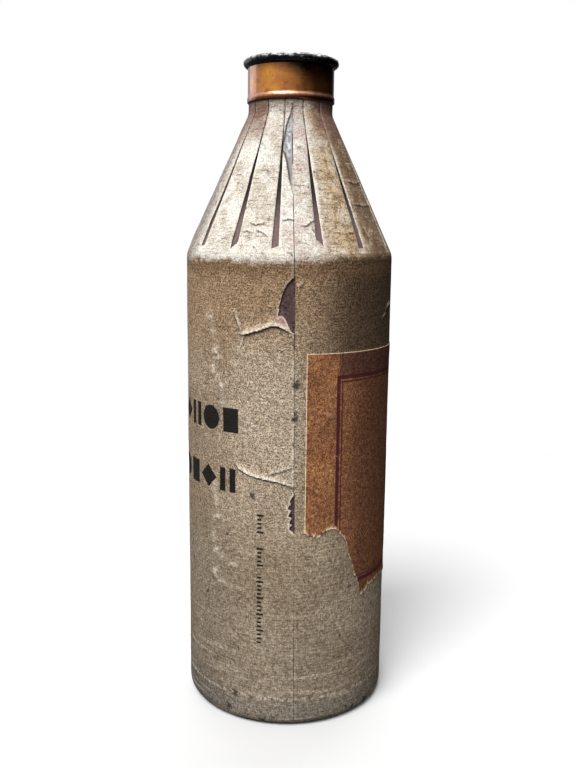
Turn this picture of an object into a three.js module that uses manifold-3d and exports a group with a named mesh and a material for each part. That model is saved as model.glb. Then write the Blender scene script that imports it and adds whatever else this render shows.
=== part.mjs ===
// One-litre oil bottle made of wound board and paper, with a clinched sheet-metal neck and a press-in lid.
// Millimetres, +Z up, origin at the centre of the base. Azimuth 0 faces -Y and grows towards +X.
import * as THREE from "three";
import { mergeVertices } from "three/addons/utils/BufferGeometryUtils.js";
import Module from "manifold-3d";

// Driving dimensions of the outside.
const bodyRadius = 42;
const shoulderHeight = 187.9; // where the side and the cone would meet in a sharp corner
const neckRadius = 16.8; // outside of the paper where it enters the collar
const neckHeight = 242.4; // where the cone and the neck would meet in a sharp corner
const totalHeight = 264;
const baseRounding = 4.2;
const shoulderRounding = 8;
const neckRounding = 6;

// Sheet and board thicknesses. The layers nest, with this gap between them.
const layerGap = 0.1;
const paperThickness = 0.6;
const boardThickness = 1.2;
const linerThickness = 0.3;
const tinThickness = 0.3;

const segments = 40; // facets round every turned piece, all in line with each other
const degrees = Math.PI / 180;

// ---- Profiles: lists of Vector2, x is the radius and y is the height ----

const at = (radius, height, rounding = 0) => ({ point: new THREE.Vector2(radius, height), rounding });

// A line through the corners, each of which may be rounded by a tangent arc.
function roundedLine(corners, arcSteps = 3) {
  const line = [];
  corners.forEach(({ point, rounding }, i) => {
    if (!rounding) {
      line.push(point.clone());
      return;
    }
    const back = corners[i - 1].point.clone().sub(point).normalize();
    const ahead = corners[i + 1].point.clone().sub(point).normalize();
    const halfAngle = Math.acos(THREE.MathUtils.clamp(back.dot(ahead), -1, 1)) / 2;
    const centre = point.clone().add(
      back.clone().add(ahead).normalize().multiplyScalar(rounding / Math.sin(halfAngle)),
    );
    const reach = rounding / Math.tan(halfAngle);
    const first = point.clone().addScaledVector(back, reach).sub(centre);
    const last = point.clone().addScaledVector(ahead, reach).sub(centre);
    const turn = Math.atan2(first.cross(last), first.dot(last));
    for (let step = 0; step <= arcSteps; step++) {
      line.push(first.clone().rotateAround(new THREE.Vector2(), (turn * step) / arcSteps).add(centre));
    }
  });
  return line;
}

// The same line moved to its left, mitred at its corners.
function offset(line, distance) {
  return line.map((point, i) => {
    const before = point.clone().sub(line[Math.max(i - 1, 0)]).normalize();
    const after = line[Math.min(i + 1, line.length - 1)].clone().sub(point).normalize();
    if (i === 0) before.copy(after);
    if (i === line.length - 1) after.copy(before);
    const left = new THREE.Vector2(-before.y - after.y, before.x + after.x).normalize();
    const mitre = distance / (left.x * -after.y + left.y * after.x);
    return point.clone().addScaledVector(left, mitre);
  });
}

// The stretch of a rising line between two heights.
function between(line, low, high) {
  const cut = (a, b, height) => a.clone().lerp(b, (height - a.y) / (b.y - a.y));
  const part = [];
  line.forEach((point, i) => {
    const next = line[i + 1];
    if (point.y >= low && point.y <= high) part.push(point.clone());
    if (!next || next.y - point.y < 1e-6) return;
    if (point.y < low && next.y > low) part.push(cut(point, next, low));
    if (point.y < high && next.y > high) part.push(cut(point, next, high));
  });
  return part;
}

// A closed outline of sheet that follows a line, from one depth under it to another.
const sheet = (line, near, far) => [...offset(line, near), ...offset(line, far).reverse()];

// ---- Solids ----

const wasm = await Module();
wasm.setup();

// An outline turned about Z. An outline that is clear of the axis closes on itself.
function turned(outline) {
  const onAxis = outline[0].x < 1e-6 && outline.at(-1).x < 1e-6;
  const loop = onAxis ? [...outline] : [...outline, outline[0].clone()];
  const area = THREE.ShapeUtils.area(outline);
  if (area > 0) loop.reverse();
  return new THREE.LatheGeometry(loop.reverse(), segments).rotateX(Math.PI / 2);
}

// A flat outline in distance along the wall and height, pushed straight out through the wall.
function punch(outline, azimuth, reach = bodyRadius + 5) {
  const shape = new THREE.Shape(outline.map(([along, height]) => new THREE.Vector2(along, height)));
  return new THREE.ExtrudeGeometry(shape, { depth: reach, bevelEnabled: false })
    .rotateX(Math.PI / 2)
    .rotateZ(azimuth * degrees);
}

function solid(geometry) {
  const bare = geometry.index ? geometry.toNonIndexed() : geometry.clone();
  bare.deleteAttribute("normal");
  bare.deleteAttribute("uv");
  const merged = mergeVertices(bare, 1e-4);
  const mesh = new wasm.Mesh({
    numProp: 3,
    vertProperties: merged.attributes.position.array,
    triVerts: new Uint32Array(merged.index.array),
  });
  return new wasm.Manifold(mesh);
}

function geometryOf(manifold) {
  const mesh = manifold.getMesh();
  return new THREE.BufferGeometry()
    .setAttribute("position", new THREE.BufferAttribute(mesh.vertProperties, 3))
    .setIndex(new THREE.BufferAttribute(mesh.triVerts, 1));
}

// ---- The bottle's outer surface, from the foot up to the top of the paper in the neck ----

const footInnerRadius = 36.6;
const paperTop = 257.8;
const outside = roundedLine([
  at(footInnerRadius, 0),
  at(bodyRadius, 0, baseRounding),
  at(bodyRadius, shoulderHeight, shoulderRounding),
  at(neckRadius, neckHeight, neckRounding),
  at(neckRadius, paperTop),
]);

// Depths of the layers under the outer surface.
const boardDepth = paperThickness + layerGap;
const linerDepth = boardDepth + boardThickness + layerGap;
const ferruleDepth = linerDepth + linerThickness + layerGap;

// ---- Printed paper wrap: one sheet, slit into petals that are pressed down on the cone ----

const hemHeight = 0.9; // the paper is turned under the foot as far as this
const slitBottom = 191.4;
const slitHalfWidth = 1.35; // at the bottom of a slit
const slitTip = 234; // above this the petals meet, apart from the knife cut
const cutHalfWidth = 0.15;
const frontSlits = [-56, -31, -7.5, 16.5, 42.5, 71.5];
const backSlitCount = 8;
const seamAzimuth = 3.5;

function slitAzimuths() {
  const last = frontSlits.at(-1);
  const pitch = (frontSlits[0] + 360 - last) / (backSlitCount + 1);
  return [...frontSlits, ...Array.from({ length: backSlitCount }, (_, i) => last + pitch * (i + 1))];
}

const slitOutline = [
  [-slitHalfWidth, slitBottom],
  [slitHalfWidth, slitBottom],
  [cutHalfWidth, slitTip],
  [cutHalfWidth, totalHeight],
  [-cutHalfWidth, totalHeight],
  [-cutHalfWidth, slitTip],
];

const seamOutline = [
  [-cutHalfWidth, -1],
  [cutHalfWidth, -1],
  [cutHalfWidth, totalHeight],
  [-cutHalfWidth, totalHeight],
];

// Two places where the edge at the seam is torn away, left of the seam.
const upperTear = [
  [0, 180.6],
  [-3.0, 177.5],
  [-5.2, 171.5],
  [-6.2, 165],
  [-4.4, 163.8],
  [0, 160.8],
];
const lowerTear = [
  [0, 98.3],
  [-2.2, 93.4],
  [-1.7, 87],
  [-2.1, 84.4],
  [0, 82],
];

function outerWrap() {
  let wrap = solid(turned(sheet(between(outside, hemHeight, paperTop), 0, paperThickness)));
  const cuts = slitAzimuths().map((azimuth) => punch(slitOutline, azimuth));
  cuts.push(punch(seamOutline, seamAzimuth), punch(upperTear, seamAzimuth), punch(lowerTear, seamAzimuth));
  for (const cut of cuts) wrap = wrap.subtract(solid(cut));
  return geometryOf(wrap);
}

// ---- Wound board tube, curled in at the foot; the bottle stands on the curl ----

const tubeTop = 185.8;
const hemClearance = 0.3;

function boardTube() {
  const step = hemHeight - hemClearance;
  const foot = between(outside, 0, step);
  const wall = offset(between(outside, step, tubeTop), boardDepth);
  const bore = offset(between(outside, 0, tubeTop), boardDepth + boardThickness);
  return turned([...foot, ...wall, ...bore.reverse()]);
}

// ---- Pressed board shoulder: a cone with a skirt glued into the tube ----

const skirtRadius = 39.9;
const skirtThickness = 1;
const skirtBottom = 176;
const skirtInsideTop = 186;
const coneInsideBottom = 191;
const boardTop = 257.2;
const seatGap = 0.3;

function shoulderCone() {
  const seat = tubeTop + seatGap;
  const coneOutside = offset(between(outside, seat + seatGap, boardTop), boardDepth);
  const coneInside = offset(between(outside, coneInsideBottom, boardTop), boardDepth + boardThickness);
  const skirtOutside = [at(skirtRadius, skirtBottom).point, at(skirtRadius, seat).point];
  const skirtInside = [
    at(skirtRadius - skirtThickness, skirtInsideTop).point,
    at(skirtRadius - skirtThickness, skirtBottom).point,
  ];
  return turned([
    ...skirtOutside,
    at(coneOutside[0].x, seat).point,
    ...coneOutside,
    ...coneInside.reverse(),
    ...skirtInside,
  ]);
}

// ---- Oil-proof liner: a thin sleeve that steps in behind the base pan and the skirt ----

const panRadius = 39.95;
const panFlangeTop = 12.2;
const panThickness = 1.05;
const linerBottom = 5;
const linerTop = 252;
const linerStep = 1.4; // height over which it steps in behind the pan and the skirt
const skirtLap = [skirtBottom - layerGap, 189];
const coneLapBottom = 192;

function oilproofLiner() {
  const panLapRadius = panRadius - panThickness - 2 * layerGap;
  const middleRadius = panRadius - layerGap;
  const skirtLapRadius = skirtRadius - skirtThickness - 1.5 * layerGap;
  const sleeve = roundedLine([
    at(panLapRadius, linerBottom),
    at(panLapRadius, panFlangeTop + 2 * layerGap),
    at(middleRadius, panFlangeTop + linerStep),
    at(middleRadius, skirtBottom - linerStep),
    at(skirtLapRadius, skirtLap[0]),
    at(skirtLapRadius, skirtLap[1]),
  ]);
  const up = offset(between(outside, coneLapBottom, linerTop), linerDepth);
  return turned(sheet([...sleeve, ...up], 0, linerThickness));
}

// ---- Base: a pressed board pan that the tube's curl holds, and the oil-proof dish in it ----

const panBottom = 2.15;
const panRounding = 2.6;
const dishBottom = 3.35;
const dishRadius = 38.2;
const dishRounding = 2.2;
const dishTop = 9;

function basePan() {
  const line = roundedLine([
    at(0, panBottom),
    at(panRadius, panBottom, panRounding),
    at(panRadius, panFlangeTop),
  ]);
  return turned(sheet(line, 0, panThickness));
}

function baseLiner() {
  const line = roundedLine([
    at(0, dishBottom),
    at(dishRadius, dishBottom, dishRounding),
    at(dishRadius, dishTop),
  ]);
  return turned(sheet(line, 0, linerThickness));
}

// ---- Neck ferrule: a tin tube, flared under the cone and rolled over at the mouth ----

const lipRadius = 19; // outside of the rolled lip
const boreRadius = neckRadius - ferruleDepth - tinThickness;
const lipHeight = 3.6; // the roll is flattened a little
const curlWidth = lipRadius - boreRadius;
const curlCentre = at(boreRadius + curlWidth / 2, totalHeight - lipHeight / 2).point;
const curlEnd = -120 * degrees;
const curlSteps = 10;
const ferruleBottom = 239;
const ferruleBend = 256; // above this the tube runs straight into the roll

function neckFerrule() {
  const wall = offset(between(outside, ferruleBottom, ferruleBend), ferruleDepth);
  const across = curlWidth / 2 - tinThickness;
  const up = lipHeight / 2 - tinThickness;
  const curl = Array.from({ length: curlSteps + 1 }, (_, i) => {
    const angle = THREE.MathUtils.lerp(Math.PI, curlEnd, i / curlSteps);
    return new THREE.Vector2(Math.cos(angle) * across, Math.sin(angle) * up).add(curlCentre);
  });
  return turned(sheet([...wall, ...curl], 0, tinThickness));
}

// ---- Lacquered collar, slipped over the paper and held down by the rolled lip ----

const collarBottom = 246.9;
const collarRadius = 17.2;
const beadRadius = 17.55;
const beadHeight = 1.9;
const beadSlope = 0.8;
const collarGap = 0.15; // between the paper and the collar's turned-in edge
const underLip = 0.3;

function neckCollar() {
  const line = roundedLine(
    [
      at(neckRadius + collarGap, collarBottom),
      at(beadRadius, collarBottom, 0.5),
      at(beadRadius, collarBottom + beadHeight, 0.9),
      at(collarRadius, collarBottom + beadHeight + beadSlope),
      at(collarRadius, totalHeight - lipHeight - underLip),
    ],
    2,
  );
  return turned(sheet(line, 0, tinThickness));
}

// ---- Press-in lid: a tin plug with a prying flange, and the cork ring round it ----

const plugRadius = 12.6;
const plugBottom = 255.2;
const flangeRadius = 14.7;
const flangeHeight = 263.6;
const corkRadius = 13.95;
const corkBottom = 256.2;
const corkTop = 262.9;
const corkGap = 0.15;
const panelRadius = 8.4; // the middle of the lid is pressed up
const panelStep = 0.8;

function closureLid() {
  const line = roundedLine(
    [
      at(0, plugBottom + panelStep),
      at(panelRadius, plugBottom + panelStep),
      at(panelRadius + panelStep, plugBottom),
      at(plugRadius, plugBottom, 0.9),
      at(plugRadius, flangeHeight, 0.5),
      at(flangeRadius, flangeHeight),
    ],
    2,
  );
  return turned(sheet(line, 0, tinThickness));
}

function closureSeal() {
  const inner = plugRadius + corkGap;
  return turned([
    at(inner, corkBottom).point,
    at(corkRadius, corkBottom).point,
    at(corkRadius, corkTop).point,
    at(inner, corkTop).point,
  ]);
}

// ---- Paper label pasted over the wrap, torn away along its lower edge ----

const labelThickness = 0.15;
const labelLift = 0.05;
const labelMiddle = 85; // azimuth that the label is centred on
const labelTop = 152.2;

// Distance round the bottle from azimuth 0, and height.
const labelOutline = [
  [7.6, 82],
  [10.3, 80.4],
  [13.4, 79.9],
  [18.1, 82.1],
  [22.1, 80.6],
  [25, 75.2],
  [30.1, 62],
  [33.4, 51.1],
  [36.7, 51.3],
  [39.9, 54],
  [53, 54.6],
  [70, 52.6],
  [92, 53.6],
  [117, 51.8],
  [117, labelTop],
  [7, labelTop],
];

function paperLabel() {
  const inner = bodyRadius + labelLift;
  const outer = inner + labelThickness;
  const low = labelTop / 4;
  const high = labelTop + 8;
  const ring = turned([
    at(inner, low).point,
    at(outer, low).point,
    at(outer, high).point,
    at(inner, high).point,
  ]);
  const flat = labelOutline.map(([arc, height]) => [
    bodyRadius * Math.sin(arc / bodyRadius - labelMiddle * degrees),
    height,
  ]);
  return geometryOf(solid(ring).intersect(solid(punch(flat, labelMiddle))));
}

// ---- Materials and assembly ----

const finish = (color, roughness, metalness = 0) =>
  new THREE.MeshStandardMaterial({ color, roughness, metalness });

const wrapPaper = finish(0xa5937a, 0.85);
const woundBoard = finish(0x5c4740, 0.95);
const greaseproof = finish(0xb39a6b, 0.55);
const labelPaper = finish(0x8f5a34, 0.8);
const goldLacquer = finish(0xb9772b, 0.25, 1);
const blackenedTin = finish(0x1d1b1a, 0.3, 1);
const brightTin = finish(0xa8a49a, 0.35, 1);
const cork = finish(0x9c7446, 0.9);

const bottle = new THREE.Group();
bottle.name = "oil_bottle";
const lid = new THREE.Group();
lid.name = "closure";

function piece(name, geometry, material, parent = bottle) {
  const mesh = new THREE.Mesh(geometry, material);
  mesh.name = name;
  parent.add(mesh);
}

piece("board_tube", boardTube(), woundBoard);
piece("shoulder_cone", shoulderCone(), woundBoard);
piece("base_pan", basePan(), woundBoard);
piece("base_liner", baseLiner(), greaseproof);
piece("oilproof_liner", oilproofLiner(), greaseproof);
piece("outer_wrap", outerWrap(), wrapPaper);
piece("paper_label", paperLabel(), labelPaper);
piece("neck_ferrule", neckFerrule(), blackenedTin);
piece("neck_collar", neckCollar(), goldLacquer);
piece("closure_lid", closureLid(), brightTin, lid);
piece("closure_seal", closureSeal(), cork, lid);
bottle.add(lid);

export default bottle;
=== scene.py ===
from math import atan2, copysign, cos, degrees, exp, hypot, pi, radians, sin, tan
import bpy
from mathutils import Matrix, Vector, noise


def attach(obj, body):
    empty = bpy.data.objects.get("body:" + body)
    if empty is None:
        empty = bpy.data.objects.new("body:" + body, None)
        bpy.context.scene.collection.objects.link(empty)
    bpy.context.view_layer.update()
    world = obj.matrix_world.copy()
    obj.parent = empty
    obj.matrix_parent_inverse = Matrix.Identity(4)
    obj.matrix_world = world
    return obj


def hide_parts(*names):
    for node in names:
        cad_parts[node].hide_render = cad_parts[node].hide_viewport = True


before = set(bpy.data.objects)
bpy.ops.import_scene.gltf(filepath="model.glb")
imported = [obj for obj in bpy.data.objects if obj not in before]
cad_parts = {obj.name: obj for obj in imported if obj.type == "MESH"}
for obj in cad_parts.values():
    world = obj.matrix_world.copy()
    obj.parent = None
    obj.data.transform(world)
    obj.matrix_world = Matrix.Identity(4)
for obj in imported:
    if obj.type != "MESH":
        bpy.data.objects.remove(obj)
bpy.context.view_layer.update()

# ---- The view ----
# From in front, at arm's length, level with the shoulder of the bottle and tipped a little down.

MM = 0.001
scene = bpy.context.scene
scene.view_settings.view_transform = "Standard"
scene.view_settings.look = "None"
eye = Vector((-0.16, -360.9, 198.7)) * MM
look_down = radians(10.286)
head_tilt = radians(0.586)

bpy.ops.object.camera_add(location=eye, rotation=(pi / 2 - look_down, 0, 0))
camera = bpy.context.object
camera.rotation_euler.rotate_axis("Z", head_tilt)
camera.data.lens = 40.58
camera.data.clip_start = 0.01
scene.camera = camera

# ---- The studio ----
# A pale floor, one broad high light from the left, smaller ones behind for the metal,
# and walls that are dark on the right.

bpy.ops.object.select_all(action="DESELECT")
bpy.ops.mesh.primitive_circle_add(vertices=96, radius=0.45, fill_type="NGON", location=(0, 0, 0))
floor = bpy.context.object
floor.name = "studio_floor"
floor_paint = bpy.data.materials.new("studio_floor_paint")
floor_paint.use_nodes = True
floor_inputs = floor_paint.node_tree.nodes["Principled BSDF"].inputs
floor_inputs["Base Color"].default_value = (0.46, 0.46, 0.46, 1)
floor_inputs["Roughness"].default_value = 0.9
floor.data.materials.append(floor_paint)
floor.visible_diffuse = False
floor.visible_glossy = False


def studio_light(name, kind, azimuth, elevation, power, distance=1.0, target=(0, 0, 0.13)):
    """A light aimed at the bottle. Azimuth 0 is the front and it grows towards the right."""
    turn = radians(azimuth)
    rise = radians(elevation)
    away = Vector((sin(turn) * cos(rise), -cos(turn) * cos(rise), sin(rise)))
    bpy.ops.object.light_add(type=kind, location=Vector(target) + away * distance)
    light = bpy.context.object
    light.name = name
    light.rotation_euler = away.to_track_quat("Z", "Y").to_euler()
    light.data.energy = power
    return light


key_light = studio_light("key_light", "SUN", -27, 52, 6.2)
key_light.data.angle = radians(38)

for name, azimuth, elevation, power, distance, level, width, height in (
    ("back_light", -122, 12, 1.7, 1.0, 0.2, 0.6, 0.9),
    ("top_light", 175, 58, 9, 1.0, 0.25, 0.9, 0.3),
    ("low_light", 38, 8, 0.11, 0.24, 0.02, 0.12, 0.04),
):
    light = studio_light(name, "AREA", azimuth, elevation, power, distance, target=(0, 0, level))
    light.data.shape = "RECTANGLE"
    light.data.size = width
    light.data.size_y = height


class Value:
    """What comes out of a node. Arithmetic on it adds the nodes that work it out."""

    def __init__(self, socket):
        self.socket = socket

    def calc(self, operation, other=0.0):
        return add_node(self.socket.id_data, "Math", {0: self, 1: other}, operation=operation)

    def __add__(self, other):
        return self.calc("ADD", other)

    def __sub__(self, other):
        return self.calc("SUBTRACT", other)

    def __mul__(self, other):
        return self.calc("MULTIPLY", other)

    def __truediv__(self, other):
        return self.calc("DIVIDE", other)

    def __or__(self, other):
        """The greater of two values."""
        return self.calc("MAXIMUM", other)

    def __abs__(self):
        return self.calc("ABSOLUTE")

    def ramp(self, low, high, start=0.0, end=1.0, smooth=True):
        """The value, mapped from low..high to start..end and held at the ends."""
        inputs = dict(enumerate((self, low, high, start, end)))
        kind = "SMOOTHSTEP" if smooth else "LINEAR"
        return add_node(self.socket.id_data, "MapRange", inputs, interpolation_type=kind)

    def near(self, middle, half, soft):
        """1 within half of the middle, fading to 0 over a soft edge."""
        return abs(self - middle).ramp(half - soft, half + soft, 1.0, 0.0)


def plug(socket, value):
    """Link a value to a socket, or set it there when it is a plain number or colour."""
    if isinstance(value, Value):
        socket.id_data.links.new(value.socket, socket)
    else:
        socket.default_value = (*value, 1) if socket.type == "RGBA" else value


def add_node(tree, kind, inputs, output=0, **settings):
    """Add a node with its settings and inputs, and give the value that comes out of it."""
    node = tree.nodes.new("ShaderNode" + kind)
    for name, setting in settings.items():
        setattr(node, name, setting)
    for name, value in inputs.items():
        plug(node.inputs[name], value)
    return Value(node.outputs[output])


world = bpy.data.worlds.new("studio_walls")
world.use_nodes = True
scene.world = world
walls = world.node_tree
wall_light = walls.nodes["Background"]
direction = add_node(walls, "TexCoord", {}, "Generated")
sides = {axis: add_node(walls, "SeparateXYZ", {0: direction}, axis) for axis in "XYZ"}
rays = {kind: add_node(walls, "LightPath", {}, f"Is {kind} Ray") for kind in ("Camera", "Diffuse", "Glossy")}

left_wall = sides["X"].ramp(-0.7, 0.3, 0.6, 0.3)
right_wall = sides["X"].ramp(0.22, 0.6, 1.0, 0.01)
low_wall = sides["Z"].ramp(-0.15, 0.05, 0.22, 1.0)
ceiling = sides["Z"].ramp(0.45, 0.75, 0.0, 0.5)
# A long strip of light high in front, which shows only in the metal.
strip = rays["Glossy"].ramp(0, 1, 0.0, 1.2)
strip = strip * sides["Z"].ramp(0.5, 0.62) * sides["Z"].ramp(0.84, 0.93, 1.0, 0.0)
strip = strip * sides["Y"].ramp(-0.15, 0.1, 1.0, 0.0)
strip = strip * sides["X"].ramp(-0.85, -0.6) * sides["X"].ramp(0.4, 0.75, 1.0, 0.0)
plug(wall_light.inputs["Color"], left_wall * right_wall * low_wall + ceiling + strip)
plug(wall_light.inputs["Strength"], rays["Diffuse"].ramp(0, 1, 1.0, 0.45))
# Looked at directly, the walls are plain white.
white_wall = add_node(walls, "Background", {"Color": (1, 1, 1)})
seen_wall = add_node(walls, "MixShader", {0: rays["Camera"], 1: Value(wall_light.outputs[0]), 2: white_wall})
plug(walls.nodes["World Output"].inputs["Surface"], seen_wall)

# ---- Board tube ----
# The wall of the bottle: dark grey-brown board wound from several layers, and curled in at the foot.
# The bottle stands on the curl. It shows in the tears of the paper and underneath.

BODY_RADIUS = 42.0
SHOULDER_HEIGHT = 187.9
NECK_RADIUS = 16.8
NECK_HEIGHT = 242.4
PAPER_TOP = 257.8
BOARD_DEPTH = 0.7
BOARD_THICKNESS = 1.2
HEM_HEIGHT = 0.9
TUBE_TOP = 185.8


def rounded_line(corners, steps=4):
    """The points of a line through (radius, height, rounding) corners, with an arc at each rounded one."""
    points = []
    for i, (radius, height, rounding) in enumerate(corners):
        corner = Vector((radius, height))
        if not rounding:
            points.append(corner)
            continue
        back = (Vector(corners[i - 1][:2]) - corner).normalized()
        ahead = (Vector(corners[i + 1][:2]) - corner).normalized()
        half_angle = back.angle(ahead) / 2
        centre = corner + (back + ahead).normalized() * rounding / sin(half_angle)
        reach = rounding / tan(half_angle)
        first = corner + back * reach - centre
        last = corner + ahead * reach - centre
        turn = first.angle_signed(last)
        for step in range(steps + 1):
            arm = first.copy()
            arm.rotate(Matrix.Rotation(-turn * step / steps, 2))
            points.append(centre + arm)
    return points


def offset_line(points, distance):
    """The same line, moved to its left by a distance."""
    moved = []
    for i, point in enumerate(points):
        before = (point - points[i - 1]).normalized() if i else None
        after = (points[i + 1] - point).normalized() if i + 1 < len(points) else None
        before = before or after
        after = after or before
        left = Vector((-before.y - after.y, before.x + after.x)).normalized()
        moved.append(point + left * distance / (left.x * -after.y + left.y * after.x))
    return moved


def between(points, low, high):
    """The stretch of a rising line between two heights."""
    part = []
    for i, point in enumerate(points):
        if low <= point.y <= high:
            part.append(point.copy())
        if i + 1 == len(points) or points[i + 1].y - point.y < 1e-6:
            continue
        for height in (low, high):
            if point.y < height < points[i + 1].y:
                part.append(point.lerp(points[i + 1], (height - point.y) / (points[i + 1].y - point.y)))
    return part


outside = rounded_line(
    [
        (36.6, 0, 0),
        (BODY_RADIUS, 0, 4.2),
        (BODY_RADIUS, SHOULDER_HEIGHT, 8),
        (NECK_RADIUS, NECK_HEIGHT, 6),
        (NECK_RADIUS, PAPER_TOP, 0),
    ],
    steps=8,
)


def draw_outline(name, points):
    """Start a piece: one point, drawn out corner by corner in the plane of +X and +Z."""
    bpy.ops.object.select_all(action="DESELECT")
    bpy.ops.mesh.primitive_plane_add(size=MM)
    piece = bpy.context.object
    piece.name = name
    piece.data.name = name
    bpy.ops.object.mode_set(mode="EDIT")
    bpy.ops.mesh.merge(type="CENTER")
    bpy.ops.transform.translate(value=(points[0].x * MM, 0, points[0].y * MM))
    for start, end in zip(points, points[1:]):
        step = end - start
        bpy.ops.mesh.extrude_vertices_move(
            TRANSFORM_OT_translate={"value": (step.x * MM, 0, step.y * MM)},
        )
    return piece


def spin_round(piece, columns, closed):
    """Turn the drawn outline round the bottle's axis, and leave edit mode."""
    bpy.ops.mesh.select_all(action="SELECT")
    if closed:
        bpy.ops.mesh.remove_doubles(threshold=0.002 * MM)
        bpy.ops.mesh.select_all(action="SELECT")
    bpy.ops.mesh.spin(steps=columns, angle=2 * pi, center=(0, 0, 0), axis=(0, 0, 1))
    bpy.ops.mesh.select_all(action="SELECT")
    bpy.ops.mesh.remove_doubles(threshold=0.002 * MM)
    bpy.ops.mesh.normals_make_consistent(inside=False)
    bpy.ops.object.mode_set(mode="OBJECT")


def turned_piece(name, points, columns=144):
    """A closed piece, turned from an outline. One that is clear of the axis is closed on itself."""
    on_axis = points[0].x < 0.001 and points[-1].x < 0.001
    loop = list(points) if on_axis else [*points, points[0]]
    piece = draw_outline(name, loop)
    spin_round(piece, columns, closed=not on_axis)
    bpy.ops.object.shade_smooth_by_angle(angle=radians(35))
    return piece


def sheet_outline(line, near, far):
    """The outline of a sheet that follows a line, from one depth under it to another."""
    return offset_line(line, near) + offset_line(line, far)[::-1]


class Finish:
    """A material under way, with what its values start from."""

    def __init__(self, name):
        self.material = bpy.data.materials.new(name)
        self.material.use_nodes = True
        self.place = self.node("TexCoord", {}, "Object")
        x, y, z = (self.node("SeparateXYZ", {0: self.place}, axis) for axis in "XYZ")
        self.height = z * 1000
        self.azimuth = x.calc("ARCTAN2", y * -1)

    def node(self, *what, **settings):
        return add_node(self.material.node_tree, *what, **settings)

    def stretched(self, x, y, z):
        """Object coordinates, scaled unevenly."""
        return self.node("Mapping", {"Vector": self.place, "Scale": (x, y, z)})

    def speckle(self, size, detail=2.0, coarse=0.5, place=None, warp=0.0):
        """Noise between 0 and 1, with grains of a size in millimetres."""
        inputs = {"Vector": place or self.place, "Scale": 1000 / size}
        return self.node("TexNoise", {**inputs, "Detail": detail, "Roughness": coarse, "Distortion": warp})

    def blend(self, share, a, b, kind="MIX"):
        """Colour a turning into colour b by a share."""
        return self.node("Mix", {0: share, 6: a, 7: b}, 2, data_type="RGBA", blend_type=kind)

    def coats(self, colour, *coats):
        """A colour under coats of other colours, each with the share of it that shows."""
        for share, coat in coats:
            colour = self.blend(share, colour, coat)
        return colour

    def relief(self, height, depth, strength):
        """Bumps of a depth in millimetres."""
        return self.node("Bump", {"Height": height, "Distance": depth * MM, "Strength": strength})

    def painted(self, name):
        """A mark painted on the piece's points, from 0 to 1."""
        return self.node("Attribute", {}, "Fac", attribute_name=name)

    def finish(self, colour, roughness, normal, **others):
        inputs = {"Base Color": colour, "Roughness": roughness, "Normal": normal, **others}
        for name, value in inputs.items():
            plug(self.material.node_tree.nodes["Principled BSDF"].inputs[name.replace("_", " ")], value)
        return self.material


def board_finish():
    """Old wound board: dark purple-brown pulp with paler and darker grains, and painted shade: near black
    high on the cone, in the narrow slits.
    """
    work = Finish("wound_board")
    grains = work.speckle(1.1, detail=3, coarse=0.65)
    patches = work.speckle(7, detail=3)
    colour = work.coats(
        work.blend(grains.ramp(0.4, 0.62), (0.02, 0.013, 0.013), (0.105, 0.066, 0.06)),
        (patches.ramp(0.35, 0.7), (0.06, 0.034, 0.032)),
        (work.height.ramp(187, 190, 0.0, 0.55), (0.17, 0.12, 0.115)),
        # Painted shade: high on the cone the board turns near black, where the slits are narrow.
        (work.height.ramp(197, 214, 0.0, 0.95), (0.008, 0.006, 0.006)),
    )
    bumps = work.relief(grains, 0.25, 0.7)
    return work.finish(colour, grains.ramp(0.3, 0.7, 0.95, 0.75), bumps, Specular_IOR_Level=0.2)


board = board_finish()


def finish_piece(piece, material, body, slot, *nodes):
    """Give a piece its material, its body and the CAD nodes that it stands for."""
    piece.data.materials.clear()
    piece.data.materials.append(material)
    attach(piece, body)
    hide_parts(*nodes)


foot_step = HEM_HEIGHT - 0.3
tube_outline = (
    between(outside, 0, foot_step)
    + offset_line(between(outside, foot_step, TUBE_TOP), BOARD_DEPTH)
    + offset_line(between(outside, 0, TUBE_TOP), BOARD_DEPTH + BOARD_THICKNESS)[::-1]
)
board_tube = turned_piece("board_tube_wall", tube_outline)
finish_piece(board_tube, board, "bottle", "wound_board", "board_tube")

# ---- Board shoulder ----
# A cone of the same board with a skirt glued into the tube.
# It shows as dark strips between the paper's petals.

SKIRT_RADIUS = 39.9
SKIRT_BOTTOM = 176.0
BOARD_TOP = 257.2

seat = TUBE_TOP + 0.3
cone_outer = offset_line(between(outside, seat + 0.3, BOARD_TOP), BOARD_DEPTH)
cone_inner = offset_line(between(outside, 191, BOARD_TOP), BOARD_DEPTH + BOARD_THICKNESS)
shoulder_outline = [
    Vector((SKIRT_RADIUS, SKIRT_BOTTOM)),
    Vector((SKIRT_RADIUS, seat)),
    Vector((cone_outer[0].x, seat)),
    *cone_outer,
    *cone_inner[::-1],
    Vector((SKIRT_RADIUS - 1, SKIRT_BOTTOM + 10)),
    Vector((SKIRT_RADIUS - 1, SKIRT_BOTTOM)),
]
shoulder = turned_piece("board_shoulder", shoulder_outline)
finish_piece(shoulder, board, "bottle", "wound_board", "shoulder_cone")

# ---- Paper wrap ----
# One sheet of printed kraft paper, rolled round the board and glued at a seam a little right of the front.
# Above the shoulder it is slit into petals, pressed down on the cone and held at the neck by the collar.

PETALS = 14
COLUMNS_PER_PETAL = 12
COLUMNS = PETALS * COLUMNS_PER_PETAL
FRONT_SLITS = [-56, -31, -7.5, 16.5, 42.5, 71.5]
SLIT_BOTTOM = 191.4
SLIT_HALF_WIDTH = 1.35
SLIT_TIP = 234.0
CUT_HALF_WIDTH = 0.16
SEAM_FOOT = 5.0
SEAM_LEAN = -0.0132
SEAM_COLUMN = 4
EDGE_MARGIN = 0.45
PAPER_THICKNESS = 0.6
PETAL_TOP = 247
FRONT_HALF = 90
ROW = 2.1

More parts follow.
